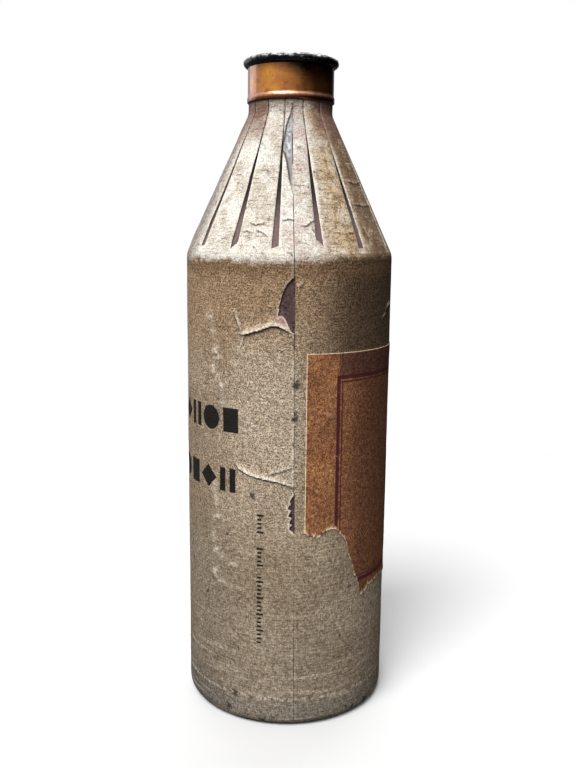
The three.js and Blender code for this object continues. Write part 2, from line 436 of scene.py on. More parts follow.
back_pitch = (FRONT_SLITS[0] + 360 - FRONT_SLITS[-1]) / (PETALS - len(FRONT_SLITS) + 1)
slits = FRONT_SLITS + [FRONT_SLITS[-1] + back_pitch * (i + 1) for i in range(PETALS - len(FRONT_SLITS))]

wrap_line = between(outside, HEM_HEIGHT, SLIT_BOTTOM)
wrap_line += between(outside, SLIT_BOTTOM + 0.01, PAPER_TOP)
wrap_rows = [wrap_line[0]]
for end in wrap_line[1:]:
    start = wrap_rows[-1]
    count = max(1, round((end - start).length / ROW))
    wrap_rows += [start.lerp(end, (i + 1) / count) for i in range(count)]

wrap = draw_outline("paper_wrap", wrap_rows)
spin_round(wrap, COLUMNS, closed=False)


def azimuth_of(point):
    """Degrees round the bottle from the front, towards the right."""
    return degrees(atan2(point.x, -point.y))


def radius_at(height):
    """Radius of the bottle's outside at a height, in millimetres."""
    for low, high in zip(outside, outside[1:]):
        if low.y <= height <= high.y and high.y > low.y:
            return low.lerp(high, (height - low.y) / (high.y - low.y)).x
    return NECK_RADIUS if height > NECK_HEIGHT else BODY_RADIUS


def slit_half_angle(height):
    """Half of a slit's width, as an angle, at a height. It is the same all the way down below the slit."""
    if height <= SLIT_BOTTOM:
        return degrees(SLIT_HALF_WIDTH / BODY_RADIUS)
    share = min(1, (height - SLIT_BOTTOM) / (SLIT_TIP - SLIT_BOTTOM))
    half = SLIT_HALF_WIDTH + (CUT_HALF_WIDTH - SLIT_HALF_WIDTH) * share
    return degrees(half / radius_at(height))


def seam_at(height):
    """Azimuth of the seam, which leans a little."""
    return SEAM_FOOT + SEAM_LEAN * height


def column_azimuth(column, height):
    """Where a column of the sheet lies: the first two of each petal's are the edges of its slit."""
    petal, place = divmod(column % COLUMNS, COLUMNS_PER_PETAL)
    half = slit_half_angle(height)
    slit = slits[petal]
    following = slits[petal + 1] if petal + 1 < PETALS else slits[0] + 360
    if place == 0:
        return slit - half
    if place == 1:
        return slit + half
    margin = half + degrees(EDGE_MARGIN / radius_at(height))
    start, end = slit + margin, following - margin
    seam = seam_at(height)
    steps = COLUMNS_PER_PETAL - 3
    if start < seam < end:
        if place - 2 <= SEAM_COLUMN:
            return start + (seam - start) * (place - 2) / SEAM_COLUMN
        return seam + (end - seam) * (place - 2 - SEAM_COLUMN) / (steps - SEAM_COLUMN)
    return start + (end - start) * (place - 2) / steps


def on_surface(azimuth, height, radius):
    turn = radians(azimuth)
    return Vector((radius * sin(turn), -radius * cos(turn), height)) * MM


def place_of(point):
    """Azimuth, height and radius of a point, in degrees and millimetres."""
    return azimuth_of(point), point.z / MM, hypot(point.x, point.y) / MM


wrap_columns = {}
for vertex in wrap.data.vertices:
    azimuth, height, radius = place_of(vertex.co)
    column = round(azimuth * COLUMNS / 360) % COLUMNS
    vertex.co = on_surface(column_azimuth(column, height), height, radius)
    wrap_columns[vertex.index] = column


def select_only(kind, wanted):
    """Select only the faces or edges of the wrap that are wanted, and go into edit mode."""
    bpy.ops.object.mode_set(mode="OBJECT")
    mesh = wrap.data
    for part in (*mesh.vertices, *mesh.edges, *mesh.polygons):
        part.select = False
    for part in mesh.edges if kind == "EDGE" else mesh.polygons:
        part.select = bool(wanted(part))
    bpy.ops.object.mode_set(mode="EDIT")
    bpy.ops.mesh.select_mode(type=kind)


def in_slit(face):
    columns = {wrap_columns[i] % COLUMNS_PER_PETAL for i in face.vertices}
    return columns == {0, 1} and face.center.z / MM > SLIT_BOTTOM


def on_seam(edge):
    corners = [wrap.data.vertices[i].co for i in edge.vertices]
    return all(abs(azimuth_of(corner) - seam_at(corner.z / MM)) < 0.05 for corner in corners)


select_only("FACE", in_slit)
bpy.ops.mesh.delete(type="FACE")
select_only("EDGE", on_seam)
bpy.ops.mesh.edge_split(type="EDGE")
bpy.ops.object.mode_set(mode="OBJECT")

# The two tears by the seam, and the flap turned up under the first: distance from the seam and height.
UPPER_TEAR = [
    (0.4, 181.0), (-1.2, 179.6), (-3.0, 177.5), (-4.3, 174.6), (-5.2, 171.5), (-5.7, 168.4),
    (-6.1, 165.8), (-4.7, 166.4), (-3.4, 165.4), (-2.4, 163.4), (-1.3, 161.0), (0.4, 158.4),
]
FLAP = [
    (-6.3, 165.8), (-4.7, 166.6), (-3.3, 165.6), (-2.2, 163.4), (-1.2, 160.8), (-3.5, 162.4), (-6.4, 163.8),
]
LOWER_TEAR = [
    (0.4, 98.6), (-0.8, 96.4), (-1.7, 94.8), (-1.1, 93.8), (-2.2, 92.8), (-2.3, 91.8),
    (-0.9, 90.9), (-1.9, 89.9), (-2.1, 88.8), (-0.8, 88.0), (-1.5, 87.2), (-2.0, 86.2),
    (-0.7, 85.4), (-1.9, 84.4), (-1.6, 83.4), (-0.5, 82.6), (0.4, 81.4),
]
TEARS = (UPPER_TEAR, LOWER_TEAR)

# Where the top layer of the paper is skinned off the cone, left of the seam: azimuth and height.
SKINNED = [
    (2.2, 244), (0.4, 241.4), (-2.2, 239), (-4.4, 236.8), (-5.4, 234.6), (-6.2, 231.4), (-7.4, 228.6),
    (-7.2, 227.2), (-4.4, 225.4), (-3.0, 223.2), (-1.8, 220.2), (-0.4, 216.6), (0.8, 214), (2.0, 210),
]

# Folds: the sheet rises towards a line and drops back beyond it. Azimuth and height of the line's points,
# how far it rises, and how far above the line the rise starts.
FOLDS = [
    ([(-27, 158.4), (-22.6, 158.9), (-14, 160.9), (-8.1, 162.6), (-4.5, 162.2), (2.9, 159.4)], 1.1, 3.4),
    ([(-30, 168.5), (-27, 163.4), (-25.5, 160.2)], 0.5, 2.0),
    ([(-27.6, 151), (-24.2, 155.4), (-22.9, 158.6)], 0.35, 1.6),
    ([(-30, 109.6), (-25.9, 106.6), (-20, 104.6), (-12.1, 103.4), (-4.5, 102.6), (3.2, 100.6)], 0.8, 2.4),
    ([(-10.6, 105.2), (-6.8, 105.9), (-2, 107.2), (3.2, 108.6)], 0.45, 2.0),
    ([(3.2, 201.2), (0, 201.6), (-4.6, 201.2)], 0.55, 1.2),
    ([(6.5, 199.4), (9.5, 199.2), (12.4, 200.6), (14.4, 201.2)], 0.85, 1.4),
    ([(-25, 200.6), (-20, 199.4), (-14, 200.2)], 0.55, 1.3),
    ([(-28, 196.8), (-25, 197.2), (-22, 197.0)], 0.45, 1.2),
    ([(-20, 197.6), (-16, 197.0), (-11.6, 195.2)], 0.45, 1.2),
    ([(12.0, 198.6), (14.0, 196.2), (15.0, 193.4)], 0.45, 1.1),
    ([(1.6, 214.6), (7, 214.0), (12.4, 214.4)], 0.25, 1.0),
    ([(44, 216.4), (60, 215.6), (78, 216.8)], 0.3, 1.2),
    ([(46, 207.6), (60, 207.0), (76, 207.8)], 0.3, 1.2),
    ([(24, 197.4), (32, 196.4), (40, 197)], 0.3, 1.2),
    ([(61, 163.4), (65, 164.8), (67.5, 165)], 0.5, 1.2),
    ([(66, 166.4), (70, 168.6), (74, 169)], 0.6, 1.4),
    ([(4.0, 176.6), (7.6, 178.8)], 0.35, 1.0),
]

# Lumps of dried glue under the sheet: azimuth, height, rise, half width and half height.
LUMPS = [
    (-47, 164, 0.45, 1.8, 2.4), (-44, 158, 0.4, 1.5, 1.8), (-42, 151, 0.6, 1.3, 2.2),
    (-39.5, 148.6, 0.45, 1.4, 1.2), (-43.5, 144.4, 0.55, 1.2, 2.2), (-40.5, 140.6, 0.45, 1.2, 1.6),
    (-38, 137, 0.5, 1.1, 2.4), (-37, 131, 0.4, 1.2, 3), (-29, 147, 0.35, 1.6, 1.8),
    (-26, 152, 0.4, 1.4, 1.6), (-44, 98, 0.4, 1.0, 3.4), (-42, 91, 0.45, 1.2, 2.6),
    (-40.5, 84.6, 0.5, 2.2, 1.0), (-44.4, 76, 0.4, 1.0, 3.2), (-42, 70.6, 0.45, 1.8, 1.4),
    (-37.6, 68.4, 0.4, 1.8, 1.2), (-30, 66.4, 0.35, 2.0, 1.0), (-43, 61, 0.45, 1.4, 1.8),
    (-38, 58, 0.4, 2.0, 1.2), (-27, 57, 0.3, 2.6, 0.9), (-33, 127, 0.3, 1.0, 4),
    (-20, 72, 0.25, 2.4, 1.4), (-12, 60, 0.2, 2.4, 1.2),
]


def seam_place(point):
    """Distance from the seam and height of a point, in millimetres."""
    height = point.z / MM
    return Vector((radians(azimuth_of(point) - seam_at(height)) * BODY_RADIUS, height))


def is_within(place, outline):
    """Whether a place lies inside a closed outline."""
    within = False
    for (ax, ay), (bx, by) in zip(outline, outline[1:] + outline[:1]):
        if (ay > place.y) != (by > place.y):
            if place.x < ax + (bx - ax) * (place.y - ay) / (by - ay):
                within = not within
    return within


def nearest_on(place, line):
    """Distance to a line of points, its nearest point, and how far along the line that is, from 0 to 1."""
    best = None
    for i, (start, end) in enumerate(zip(line, line[1:])):
        a, b = Vector(start), Vector(end)
        share = held((place - a).dot(b - a) / (b - a).length_squared)
        point = a.lerp(b, share)
        away = (place - point).length
        if best is None or away < best[0]:
            best = (away, point, (i + share) / (len(line) - 1))
    return best


def held(share):
    """A share, held between 0 and 1."""
    return max(0, min(1, share))


def waver(x, y, z):
    return noise.noise(Vector((x, y, z)))


fold_lines = [
    ([(radians(a) * radius_at(h), h) for a, h in line], peak, spread) for line, peak, spread in FOLDS
]


def folds_near(azimuth, height, reach=0.0):
    """The folds near a place: distance, whether it is on the rising side, how strong the fold is there, its
    rise and its spread."""
    place = Vector((radians(azimuth) * radius_at(height), height))
    for points, peak, spread in fold_lines:
        if not min(h for a, h in points) - 6 < height < max(h for a, h in points) + 6:
            continue
        away, point, along = nearest_on(place, points)
        if away > spread + reach:
            continue
        level = abs(points[0][0] - points[-1][0]) > 3
        rising = place.y > point.y if level else place.x < point.x
        fade = max(0, min(1, 5 * along, 5 * (1 - along) + 0.35))
        yield away, rising, fade, peak, spread


def lumps_near(azimuth, height):
    """The lumps near a place: how high up the lump it is, from 0 to 1, and the lump's rise."""
    for middle, level, peak, half_width, half_height in LUMPS:
        across = radians(azimuth - middle) * BODY_RADIUS / half_width
        up = (height - level) / half_height
        if abs(across) > 3 or abs(up) > 3:
            continue
        across += 0.9 * waver(azimuth / 1.8, height / 1.6, 3)
        up += 0.9 * waver(azimuth / 1.8, height / 1.6, 7)
        if across * across + up * up < 6:
            yield exp(-(across * across + up * up)), peak


def worn_face(face):
    """Whether the paper is creased, lumpy, torn or skinned at a face."""
    azimuth, height = azimuth_of(face.center), face.center.z / MM
    if abs(azimuth) > FRONT_HALF:
        return False
    place = seam_place(face.center)
    torn = any(is_within(place, tear) or nearest_on(place, [*tear, tear[0]])[0] < 2.4 for tear in TEARS)
    skinned_area = -12 < azimuth < 4 and 208 < height < 246
    creased = any(folds_near(azimuth, height, reach=1.6))
    lumpy = any(share > 0.06 for share, peak in lumps_near(azimuth, height))
    by_seam = -4 < place.x < 1.5 and 98 < height < 160
    return torn or skinned_area or creased or lumpy or by_seam


def torn_face(face):
    place = seam_place(face.center)
    return face.center.y < 0 and any(is_within(place, tear) for tear in TEARS)


select_only("FACE", worn_face)
bpy.ops.mesh.subdivide(number_cuts=3)
select_only("FACE", torn_face)
bpy.ops.mesh.delete(type="FACE")
bpy.ops.mesh.select_mode(type="VERT")
bpy.ops.mesh.select_all(action="DESELECT")
bpy.ops.mesh.select_non_manifold()
bpy.ops.object.mode_set(mode="OBJECT")
for vertex in wrap.data.vertices:
    place = seam_place(vertex.co)
    if not vertex.select or not -8 < place.x < -0.2:
        continue
    for tear in TEARS:
        away, point, along = nearest_on(place, tear)
        if away < 0.9:
            ragged = 0.25 * waver(point.x, point.y * 1.7, 3)
            azimuth = seam_at(point.y) + degrees((point.x + ragged) / BODY_RADIUS)
            vertex.co = on_surface(azimuth, point.y, BODY_RADIUS)


def paper_rise(azimuth, height):
    """How far the paper stands off its board at a place, in millimetres."""
    place = Vector((radians(azimuth) * BODY_RADIUS, height))
    rise = 0.16 * waver(place.x / 17, height / 23, 1)
    rise += 0.06 * waver(place.x / 5, height / 6, 5)
    if abs(azimuth) > FRONT_HALF:
        return rise
    for away, rising, fade, peak, spread in folds_near(azimuth, height):
        slope = max(0, 1 - away / spread) ** 1.4 if rising else max(0, 1 - away / 0.35)
        rise += peak * slope * fade
    for share, peak in lumps_near(azimuth, height):
        rise += peak * share
    if is_within(Vector((azimuth, height)), SKINNED):
        rise -= 0.3
    return rise


def slit_edge(azimuth, height):
    """Distance to the nearest slit's edge, and the side of the slit it is on."""
    nearest = min(((azimuth - slit + 180) % 360 - 180 for slit in slits), key=abs)
    half = radians(slit_half_angle(height))
    return (abs(radians(nearest)) - half) * radius_at(height), copysign(1, nearest)


def petal_lift(azimuth, height):
    """How far a petal's edge curls off the cone beside its slit, less the burr the knife turned down."""
    if not SLIT_BOTTOM - 3 < height < PETAL_TOP:
        return 0
    distance, side = slit_edge(azimuth, height)
    lift = 0
    if distance < 4:
        curl = 0.42 if side < 0 else 0.22
        wave = 0.65 + 0.8 * waver(round(azimuth / 26) * 3 + side, height / 9, 2)
        lift = curl * wave * (1 - max(0, distance) / 4) ** 2
        lift *= min(1, (height - SLIT_BOTTOM + 3) / 4) * min(1, (PETAL_TOP - height) / 10)
    if height > SLIT_BOTTOM - 0.6 and distance < EDGE_MARGIN:
        lift -= 0.34 * (1 - max(0, distance) / EDGE_MARGIN)
    return lift


def seam_lift(azimuth, height):
    """The edge of the overlap at the seam stands up a little on its left side."""
    distance = radians(seam_at(height) - azimuth) * radius_at(height)
    if not -0.01 < distance < 5:
        return 0
    worn = 0.75 if 100 < height < 160 else 0.35
    wave = 0.65 + 0.7 * waver(0, height / 6, 9)
    return worn * wave * (1 - distance / 5) ** 2 * held((height - 8) / 20)


def wear_and_light_of(azimuth, height):
    """How rubbed and highlit, how cracked and shadowed, and how skinned the paper is at a place, each from 0
    to 1. The highlights on crests, lumps and lit edges and the shadows under the folds are painted.
    """
    arc = radians(azimuth) * BODY_RADIUS
    grain = 0.75 + 0.8 * waver(arc / 1.3, height / 1.3, 2)
    rubbed_and_highlit = 0
    crack_and_shadow = 0
    if height > SLIT_BOTTOM - 4:
        distance, side = slit_edge(azimuth, height)
        # The slits' edges: paler, with a painted highlight on the edges that face the light.
        if height > SLIT_BOTTOM and distance < 0.9:
            rubbed_and_highlit = (1 - max(0, distance) / 0.9) * (0.95 if side > 0 else 0.25)
            rubbed_and_highlit *= max(0.12, min(1, (236 - height) / 14))
        if height < SLIT_BOTTOM + 1 and distance < 2:
            below_slit = 0.9 * exp(-(((height - SLIT_BOTTOM + 1.2) / 1.3) ** 2))
            rubbed_and_highlit = max(rubbed_and_highlit, below_slit * (1 - max(0, distance) / 2))
    if abs(azimuth) > FRONT_HALF:
        return rubbed_and_highlit * grain, 0, 0
    # The folds: a painted highlight on the rising side, and a painted shadow with the crack below the line.
    for away, rising, fade, peak, spread in folds_near(azimuth, height):
        strength = min(1, peak * 1.6)
        if rising:
            rubbed_and_highlit = max(rubbed_and_highlit, strength * fade * max(0, 1 - away / min(2.2, spread * 0.7)))
        else:
            depth = min(1, strength * 1.7) if height > SLIT_BOTTOM - 4 else strength
            crack_and_shadow = max(crack_and_shadow, depth * fade * max(0, 1.3 - away / 0.55))
    # Painted highlights on the tops of the lumps.
    for share, peak in lumps_near(azimuth - 0.5, height - 0.5):
        rubbed_and_highlit = max(rubbed_and_highlit, 0.9 * peak * share)
    place = Vector((radians(azimuth - seam_at(height)) * radius_at(height), height))
    # The overlap's edge at the seam: wear with a painted highlight.
    if -1.4 < place.x < 0.02:
        edge = 1.0 if 100 < height < 150 else 0.4 if height > 100 else 0.15
        edge *= max(0, 0.45 + 1.3 * waver(0, height / 3.5, 6))
        rubbed_and_highlit = max(rubbed_and_highlit, edge * (1 + place.x / 1.4))
    for tear in TEARS:
        if -9 < place.x < 0 and nearest_on(place, tear)[0] < 0.7:
            rubbed_and_highlit = max(rubbed_and_highlit, 0.1 if height > 169 else 0.6)
    skinned = float(is_within(Vector((azimuth, height)), SKINNED) or is_within(place, FLAP))
    if -11 < azimuth < 0.6 and 208 < height < 246:
        scale = radians(radius_at(height))
        outline = [((a - azimuth) * scale, h - height) for a, h in SKINNED]
        crack_and_shadow = max(crack_and_shadow, 1.25 - nearest_on(Vector((0, 0)), outline)[0] / 0.45)
    return held(rubbed_and_highlit * grain), held(crack_and_shadow), skinned


# Marks on the wrap's points: rubbed paper with painted highlights, cracks with painted shadow, and skinned
# paper.
MARKS = ("rubbed_and_highlit", "crack_and_shadow", "skinned")
marks = [wrap.data.attributes.new(name, "FLOAT", "POINT") for name in MARKS]
seam_sides = {}
for face in wrap.data.polygons:
    side = -1 if azimuth_of(face.center) < seam_at(face.center.z / MM) else 1
    for i in face.vertices:
        seam_sides[i] = side
for vertex in wrap.data.vertices:
    azimuth, height, radius = place_of(vertex.co)
    for mark, amount in zip(marks, wear_and_light_of(azimuth, height)):
        mark.data[vertex.index].value = amount
    rise = paper_rise(azimuth, height) + petal_lift(azimuth, height)
    at_seam = abs(azimuth - seam_at(height)) < 0.02
    if not at_seam or seam_sides[vertex.index] < 0:
        rise += seam_lift(azimuth, height)
    if at_seam:
        gap = CUT_HALF_WIDTH * (0.3 if 38 < height < 82 else 0.75 if height < 100 else 1)
        azimuth += seam_sides[vertex.index] * degrees(gap / radius)
    if abs(height - SLIT_BOTTOM) < 0.01:
        distance, side = slit_edge(azimuth, height)
        if distance < 0.05:
            cut_short = side < 0 and 10 < azimuth < 20
            height += 2.6 if cut_short else 2.2 * waver(azimuth / 2, 0, 4)
    settle = held(height / 6) * held((250 - height) / 8)
    vertex.co = on_surface(azimuth, height, radius + rise * settle)


def thicken(piece, thickness):
    """Give a sheet its thickness, inwards."""
    bpy.ops.object.select_all(action="DESELECT")
    piece.select_set(True)
    bpy.context.view_layer.objects.active = piece
    solid = piece.modifiers.new("thickness", "SOLIDIFY")
    solid.thickness = thickness * MM
    solid.offset = -1
    bpy.ops.object.modifier_apply(modifier=solid.name)
    bpy.ops.object.shade_smooth_by_angle(angle=radians(50))


thicken(wrap, PAPER_THICKNESS)


def length(across, up):
    return (across * across + up * up).calc("SQRT")


def ink_shapes(arc, height):
    """Two rows of heavy plain shapes, and a column of small marks: print that spells nothing."""
    ink = None
    half_letter = 4.8
    for row, level in enumerate((125.2, 101.2)):
        for i in range(9):
            across = abs(arc - (-23.2 - 10.4 * i - 1.5 * row))
            up = abs(height - level)
            reach = (
                across * 1.35 | up,
                length(across, up),
                abs(across - 2.4) * 3.4 | up,
                across + up,
            )[(i + 2 * row) % 4]
            shape = reach.ramp(half_letter - 0.12, half_letter + 0.12, 1.0, 0.0)
            ink = ink | shape if ink else shape
    line = height.near(50.3, 14.6, 0.2) | height.near(71.5, 4.6, 0.2) | height.near(85.4, 4.4, 0.2)
    short = (height / 1.7).calc("FRACT").ramp(0.42, 0.56, 1.0, 0.0) * arc.near(-10.6, 0.85, 0.15)
    long = (height / 6.8).calc("FRACT").ramp(0.1, 0.14, 1.0, 0.0) * arc.near(-10.3, 1.4, 0.15)
    return ink | line * (short | long)


def wrap_finish():
    """Kraft paper gone tan and grey: mottled fibres, stains, a paler cone, a darker foot and print, with
    painted shade on the right, the lower left, the foot's left and under the collar, and painted highlights
    and shadows at the creases.
    """
    work = Finish("aged_wrap_paper")
    print_arc = work.azimuth * BODY_RADIUS
    # The stains and the painted shade fade out towards the back, where the two sides meet.
    arc = print_arc * abs(print_arc).ramp(75, 128, 1.0, 0.0)
    height = work.height
    fine = work.speckle(0.52, detail=3, coarse=0.7)
    level_threads = work.speckle(0.5, detail=2, coarse=0.6, place=work.stretched(0.35, 0.35, 1))
    upright_threads = work.speckle(0.5, detail=2, coarse=0.6, place=work.stretched(1, 1, 0.3))
    weave = (level_threads + upright_threads) * 0.5 * 1.4 - 0.2
    fine = fine + height.ramp(62, 105, 0.5, 0.0) * (weave - fine)
    coarse = work.speckle(1.5, detail=2.5, coarse=0.6)
    clouds = work.speckle(30, detail=4, coarse=0.55)
    clouds_small = work.speckle(10, detail=4, coarse=0.6, warp=0.6)

    stains = work.speckle(8, detail=4, coarse=0.65, warp=0.8).ramp(0.54, 0.64)
    # Paler over the middle of the front.
    paler_front_middle = height.near(124, 30, 20) * arc.near(-7, 13, 9)
    # Painted shade: the upper right, turned away from the light, is darker.
    painted_shade_upper_right = height.ramp(90, 155) * arc.ramp(2, 29)
    # Painted shade over the lower left, deepest towards the bottom.
    painted_shade_lower_left = height.ramp(6, 130, 1.0, 0.0) * arc.ramp(-38, -14, 1.0, 0.0)
    body = work.coats(
        work.blend(clouds.ramp(0.38, 0.62), (0.245, 0.197, 0.143), (0.195, 0.15, 0.104)),
        (height.ramp(130, 175, 0.0, 0.8), (0.23, 0.152, 0.09)),
        (height.ramp(8, 105, 0.45, 0.0), (0.16, 0.138, 0.112)),
        (stains * 0.3, (0.13, 0.088, 0.052)),
        (paler_front_middle * 0.45, (0.42, 0.357, 0.277)),
        (painted_shade_upper_right * 0.92, (0.062, 0.04, 0.024)),
        (painted_shade_lower_left * 0.5, (0.1, 0.085, 0.07)),
    )

    gold = arc.ramp(8, 26) * clouds_small.ramp(0.35, 0.6, 0.5, 1.0)
    blotches = work.speckle(3.6, detail=4, coarse=0.7, warp=0.5)
    browned = blotches.ramp(0.5, 0.6) * arc.ramp(9, 24, 0.0, 0.65)
    bleached = blotches.ramp(0.38, 0.46, 1.0, 0.0) * arc.ramp(9, 24, 0.0, 0.35)
    smoky = arc.ramp(-52, -34, 1.0, 0.0) * clouds_small.ramp(0.36, 0.6, 1.0, 0.3)
    # The cone is darker from its left edge round to the back.
    darker_left_back = (print_arc + coarse.ramp(0.3, 0.7, -4.0, 4.0)).ramp(-56, -44, 0.8, 0.0)
    pink = arc.near(7, 7, 4) * work.speckle(6, detail=3).ramp(0.45, 0.6)
    flanks = arc.ramp(-25, -19, 1.0, 0.25) | arc.ramp(15, 26, 0.25, 1.0)
    neck_stain = height.ramp(224, 242) * clouds_small.ramp(0.3, 0.6, 0.5, 1.0)
    tilted = work.stretched(0.22, 0.22, 1.5)
    crazing = work.speckle(2.8, detail=3, coarse=0.6, place=tilted).near(0.5, 0.011, 0.009)
    cone = work.coats(
        work.blend(clouds_small.ramp(0.4, 0.62), (0.56, 0.54, 0.5), (0.43, 0.39, 0.33)),
        (gold, (0.42, 0.3, 0.17)),
        # Painted shade: the cone darkens towards its right side.
        (arc.ramp(22, 42, 0.0, 0.85), (0.145, 0.09, 0.054)),
        (browned, (0.13, 0.075, 0.04)),
        (bleached, (0.6, 0.52, 0.4)),
        (smoky * 0.75, (0.2, 0.17, 0.15)),
        (darker_left_back, (0.13, 0.115, 0.105)),
        (pink * 0.5, (0.36, 0.25, 0.23)),
        (neck_stain * flanks, (0.17, 0.1, 0.075)),
        # Painted shade just under the collar.
        (height.ramp(243.5, 247) * 0.7, (0.12, 0.08, 0.07)),
        (crazing * clouds_small.ramp(0.43, 0.52) * 0.75, (0.08, 0.05, 0.035)),
    )

    # The body's colour gives way to the cone's along a ragged line at the shoulder.
    ragged = height + clouds_small.ramp(0.3, 0.7, -1.9, 1.9, smooth=False)
    ragged = ragged + coarse.ramp(0.3, 0.7, -0.25, 0.25, smooth=False)
    on_cone = (ragged - arc.ramp(2, 20, 0.0, 2.2)).ramp(183.9, 187.3)
    shoulder_band = ragged.ramp(178, 184) * ragged.ramp(184.2, 186.8, 1.0, 0.0)
    foot = (height + coarse.ramp(0.3, 0.7, -1.5, 1.5)).ramp(8, 14, 1.0, 0.0)
    # Painted shade on the foot, at the left.
    painted_shade_foot_left = height.ramp(5, 24, 1.0, 0.0) * arc.ramp(-40, -22, 1.0, 0.0)
    ring = height.near(12.2, 0.45, 0.35) * coarse.ramp(0.4, 0.55)
    streaks = work.speckle(2.2, detail=2, coarse=0.5, place=work.stretched(0.1, 0.1, 1.0))
    colour = work.coats(
        work.blend(on_cone, body, cone),
        (shoulder_band * 0.75, (0.125, 0.075, 0.04)),
        (foot * 0.65, (0.12, 0.108, 0.094)),
        (painted_shade_foot_left * 0.75, (0.07, 0.064, 0.056)),
        (ring * 0.42, (0.42, 0.36, 0.29)),
        (streaks.ramp(0.56, 0.7) * height.ramp(14, 70, 0.32, 0.0), (0.42, 0.36, 0.29)),
    )

    # Fibres: fine and coarse grains, softer on the cone and near the foot.
    light = work.blend(
        on_cone | height.ramp(60, 110, 0.45, 0.0),
        work.blend(fine.ramp(0.36, 0.64), (0.34, 0.32, 0.3), (1.84, 1.82, 1.78)),
        work.blend(fine.ramp(0.36, 0.64), (0.66, 0.62, 0.58), (1.28, 1.28, 1.27)),
    )
    shade = work.blend(coarse.ramp(0.36, 0.64), (0.8, 0.78, 0.76), (1.14, 1.14, 1.14))
    shade = work.blend(on_cone * 0.5, shade, (0.98, 0.98, 0.98))
    colour = work.blend(1.0, work.blend(1.0, colour, light, "MULTIPLY"), shade, "MULTIPLY")

    # The bare under layer where the top one is skinned off, then the rubbed edges and creases with their
    # painted highlights, and the cracks with the painted shadow under the folds.
    streak = arc.near(-1.2, 1.5, 1.3) * height.near(232, 6.5, 3.5)
    streak = streak * work.speckle(1.6, detail=3).ramp(0.4, 0.62)
    bare = work.blend(height.ramp(190, 200), (0.26, 0.15, 0.135), (0.2, 0.19, 0.195))
    bare = work.blend(streak, bare, (0.5, 0.52, 0.56))
    colour = work.coats(
        colour,
        (work.painted("skinned"), work.blend(1.0, bare, shade, "MULTIPLY")),
        (work.painted("rubbed_and_highlit") * fine.ramp(0.3, 0.6, 0.5, 1.0), (0.72, 0.66, 0.57)),
        (work.painted("crack_and_shadow") * 0.85, (0.02, 0.013, 0.01)),
    )

    # Dark specks: distance round from the front, height and size.
    dark_specks = [
        (3.4, 140.6, 1.3), (3.0, 139.2, 1.2), (2.8, 128.4, 1.2), (2.4, 127, 1.5), (-21.3, 12.3, 1.4),
        (-23.9, 5.2, 1.7), (-9.5, 2.9, 1.3), (38.9, 3.4, 1.8), (30.7, 3.2, 1.2), (-36, 70, 0.5),
        (-36, 52, 0.5), (-26.4, 52.4, 0.5), (29.5, 121, 0.5), (-13.6, 96.4, 1.0), (-24.5, 79.5, 0.8),
    ]
    for speck_arc, speck_height, size in dark_specks:
        away = length(print_arc - speck_arc, height - speck_height) + coarse.ramp(0.3, 0.7, -0.8, 0.8)
        colour = work.blend(away.ramp(size * 0.3, size * 1.3, 0.85, 0.0), colour, (0.035, 0.028, 0.024))
    spots = work.speckle(3.4, detail=1.5, coarse=0.4, warp=0.3)
    ink = ink_shapes(print_arc, height) * fine.ramp(0.3, 0.5, 0.88, 0.98)
    colour = work.coats(
        colour,
        (spots.ramp(0.74, 0.78, 0.0, 0.8), (0.03, 0.022, 0.02)),
        (ink, (0.004, 0.004, 0.0045)),
    )

    wave = {"Vector": work.place, "Scale": 240, "Distortion": 1.2, "Detail": 2}
    threads = work.node("TexWave", wave, "Fac", bands_direction="Z")
    bumps = work.relief(fine * 0.8 + coarse * 0.7 + threads * 0.1, 0.45, 0.75)
    return work.finish(colour, on_cone.ramp(0, 1, 0.85, 0.65), bumps, Specular_IOR_Level=0.1)


finish_piece(wrap, wrap_finish(), "bottle", "wrap_paper", "outer_wrap")

# ---- Label ----
# A sheet of orange-brown paper pasted on the right, with a dark red double border.
# Its lower edge is torn away.

LABEL_START = 7.0
LABEL_END = 117.0
LABEL_TOP = 152.2
LABEL_BOTTOM = 50.0
LABEL_LIFT = 0.1
LABEL_THICKNESS = 0.15
TORN_EDGE = [
    (7, 82), (8.6, 80.6), (10.3, 80.8), (13.0, 79.8), (15.4, 82.2), (18.1, 82.8), (20.4, 82.2),
    (22.1, 80.0), (23.8, 78.4), (25.4, 74.6), (26.4, 70.4), (28.4, 66.2), (29.6, 61.8), (31.8, 58.4),
    (32.6, 54.2), (33.8, 51.1), (35.4, 53.4), (36.7, 52.3), (38.4, 54.8), (40.9, 54.6), (47, 55.2),
    (53, 54.6), (61, 53.2), (70, 52.6), (80, 54), (92, 53.6), (104, 52), (117, 51.8),
]


def torn_height(arc):
    """Height of the torn edge at a distance round the bottle."""
    for (a, low), (b, high) in zip(TORN_EDGE, TORN_EDGE[1:]):
        if a <= arc <= b:
            ragged = 0.9 * waver(arc * 1.9, 0, 4) + 0.9 * waver(arc * 4, 3, 4)
            return low + (high - low) * (arc - a) / (b - a) + ragged
    return LABEL_BOTTOM


bpy.ops.object.select_all(action="DESELECT")
bpy.ops.mesh.primitive_grid_add(x_subdivisions=150, y_subdivisions=130, size=1)
label = bpy.context.object
label.name = "pasted_label"
for vertex in label.data.vertices:
    arc = LABEL_START + (vertex.co.x + 0.5) * (LABEL_END - LABEL_START)
    bottom = torn_height(arc)
    height = bottom + (vertex.co.y + 0.5) * (LABEL_TOP - bottom)
    azimuth = degrees(arc / BODY_RADIUS)
    curl = 0.12 * max(0, 1 - (height - bottom) / 3) * (1 + waver(arc, 0, 8))
    rise = paper_rise(azimuth, height) + LABEL_LIFT + LABEL_THICKNESS + curl
    vertex.co = on_surface(azimuth, height, BODY_RADIUS + rise)
label.data.update()
thicken(label, LABEL_THICKNESS)

